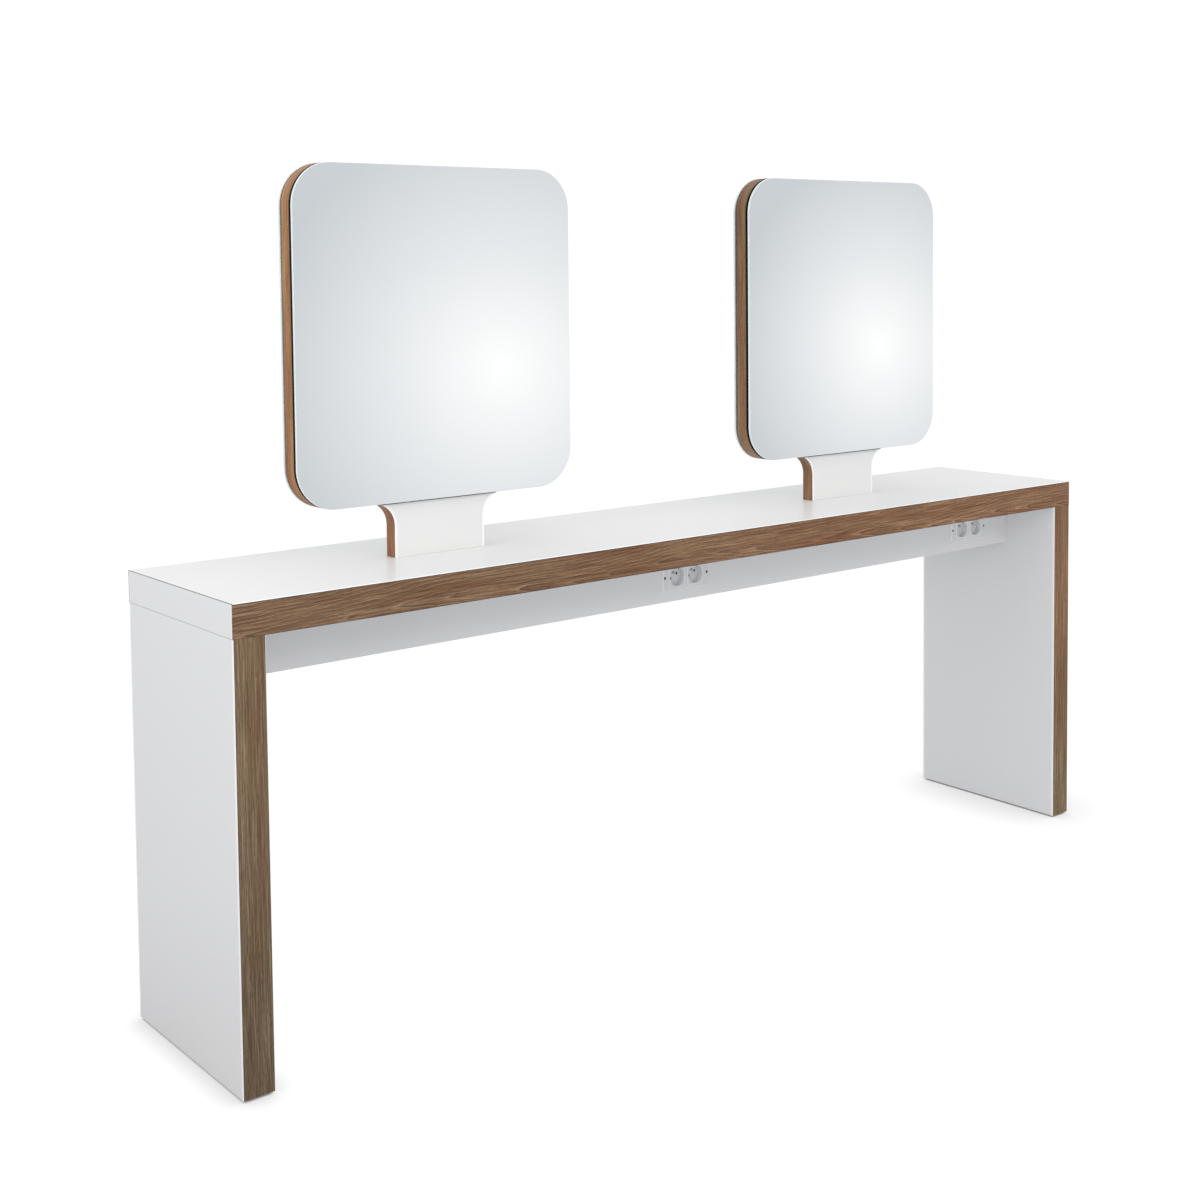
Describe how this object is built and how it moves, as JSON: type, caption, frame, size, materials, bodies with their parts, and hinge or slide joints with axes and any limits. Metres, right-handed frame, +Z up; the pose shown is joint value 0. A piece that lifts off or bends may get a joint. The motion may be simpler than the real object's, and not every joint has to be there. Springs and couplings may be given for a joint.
{
  "type": "double sided salon station",
  "caption": "Bridge-shaped salon desk in white panels with walnut-look edges, a cable duct with sockets under the top, and upright mirrors with glass on both faces.",
  "frame": {"origin": "on the floor, under the middle of the desk", "axes": "+X along the desk to the right of a person at its front, +Y from front to rear, +Z up"},
  "size_m": [2.3, 0.42, 1.597],
  "materials": {
    "white_laminate": "white melamine laminate, satin",
    "walnut_band": "walnut-look edge band with printed and embossed grain",
    "white_band": "white ABS edge band",
    "chipboard": "raw chipboard",
    "honeycomb_paper": "brown kraft paper honeycomb",
    "beech": "turned beech, unfinished",
    "mirror_glass": "silvered 5 mm float glass with polished edges",
    "foam_tape": "black closed-cell foam tape",
    "socket_white": "white moulded polycarbonate",
    "box_grey": "grey moulded plastic",
    "cable_white": "white PVC sheath",
    "zinc_steel": "zinc-plated steel",
    "nickel_brass": "nickel-plated brass",
    "black_nylon": "black moulded nylon"
  },
  "bodies": {
    "station": {"back_boxes": "box_grey", "cable_clips": "box_grey", "cable_gland": "black_nylon", "clamp_plates": "zinc_steel", "contact_sleeves": "nickel_brass", "duct_cleats": "chipboard", "duct_cover": "white_laminate", "duct_front_panel": "white_laminate", "duct_rear_panel": "white_laminate", "duct_screws": "zinc_steel", "duct_wiring": "cable_white", "earth_pins": "nickel_brass", "end_brackets": "zinc_steel", "glide_sleeves": "zinc_steel", "honeycomb_cores": "honeycomb_paper", "left_front_mirror": "mirror_glass", "left_leg_front_band": "walnut_band", "left_leg_inner_skin": "white_laminate", "left_leg_outer_skin": "white_laminate", "left_leg_rear_band": "walnut_band", "left_mirror_band": "walnut_band", "left_mirror_board": "white_laminate", "left_rear_mirror": "mirror_glass", "leg_dowels": "beech", "leg_rails": "chipboard", "mirror_studs": "zinc_steel", "mirror_tapes": "foam_tape", "right_front_mirror": "mirror_glass", "right_leg_front_band": "walnut_band", "right_leg_inner_skin": "white_laminate", "right_leg_outer_skin": "white_laminate", "right_leg_rear_band": "walnut_band", "right_mirror_band": "walnut_band", "right_mirror_board": "white_laminate", "right_rear_mirror": "mirror_glass", "socket_bases": "socket_white", "socket_frames": "socket_white", "socket_inserts": "socket_white", "socket_screws": "zinc_steel", "stud_nuts": "zinc_steel", "terminal_box": "box_grey", "top_deck": "white_laminate", "top_end_bands": "white_band", "top_front_band": "walnut_band", "top_rails": "chipboard", "top_rear_band": "walnut_band", "top_underside": "white_laminate"},
    "left_front_glide": {"left_front_glide": "black_nylon"},
    "left_rear_glide": {"left_rear_glide": "black_nylon"},
    "right_front_glide": {"right_front_glide": "black_nylon"},
    "right_rear_glide": {"right_rear_glide": "black_nylon"},
    "shutter_front_middle_a": {"shutter_front_middle_a": "socket_white"},
    "shutter_front_middle_b": {"shutter_front_middle_b": "socket_white"},
    "shutter_front_right_a": {"shutter_front_right_a": "socket_white"},
    "shutter_front_right_b": {"shutter_front_right_b": "socket_white"},
    "shutter_rear_middle_a": {"shutter_rear_middle_a": "socket_white"},
    "shutter_rear_middle_b": {"shutter_rear_middle_b": "socket_white"},
    "shutter_rear_left_a": {"shutter_rear_left_a": "socket_white"},
    "shutter_rear_left_b": {"shutter_rear_left_b": "socket_white"}
  },
  "joints": [
    {"name": "left_front_glide_screw", "type": "slide", "parent": "station", "child": "left_front_glide", "axis": [0, 0, -1], "range_m": [0, 0.012]},
    {"name": "left_rear_glide_screw", "type": "slide", "parent": "station", "child": "left_rear_glide", "axis": [0, 0, -1], "range_m": [0, 0.012]},
    {"name": "right_front_glide_screw", "type": "slide", "parent": "station", "child": "right_front_glide", "axis": [0, 0, -1], "range_m": [0, 0.012]},
    {"name": "right_rear_glide_screw", "type": "slide", "parent": "station", "child": "right_rear_glide", "axis": [0, 0, -1], "range_m": [0, 0.012]},
    {"name": "shutter_front_middle_a_slide", "type": "slide", "parent": "station", "child": "shutter_front_middle_a", "axis": [0.866, 0, 0.5], "range_m": [0, 0.0065], "stiffness_N_per_m": 120, "springref_m": -0.008},
    {"name": "shutter_front_middle_b_slide", "type": "slide", "parent": "station", "child": "shutter_front_middle_b", "axis": [0.866, 0, 0.5], "range_m": [0, 0.0065], "stiffness_N_per_m": 120, "springref_m": -0.008},
    {"name": "shutter_front_right_a_slide", "type": "slide", "parent": "station", "child": "shutter_front_right_a", "axis": [0.866, 0, 0.5], "range_m": [0, 0.0065], "stiffness_N_per_m": 120, "springref_m": -0.008},
    {"name": "shutter_front_right_b_slide", "type": "slide", "parent": "station", "child": "shutter_front_right_b", "axis": [0.866, 0, 0.5], "range_m": [0, 0.0065], "stiffness_N_per_m": 120, "springref_m": -0.008},
    {"name": "shutter_rear_middle_a_slide", "type": "slide", "parent": "station", "child": "shutter_rear_middle_a", "axis": [-0.866, 0, 0.5], "range_m": [0, 0.0065], "stiffness_N_per_m": 120, "springref_m": -0.008},
    {"name": "shutter_rear_middle_b_slide", "type": "slide", "parent": "station", "child": "shutter_rear_middle_b", "axis": [-0.866, 0, 0.5], "range_m": [0, 0.0065], "stiffness_N_per_m": 120, "springref_m": -0.008},
    {"name": "shutter_rear_left_a_slide", "type": "slide", "parent": "station", "child": "shutter_rear_left_a", "axis": [-0.866, 0, 0.5], "range_m": [0, 0.0065], "stiffness_N_per_m": 120, "springref_m": -0.008},
    {"name": "shutter_rear_left_b_slide", "type": "slide", "parent": "station", "child": "shutter_rear_left_b", "axis": [-0.866, 0, 0.5], "range_m": [0, 0.0065], "stiffness_N_per_m": 120, "springref_m": -0.008}
  ]
}
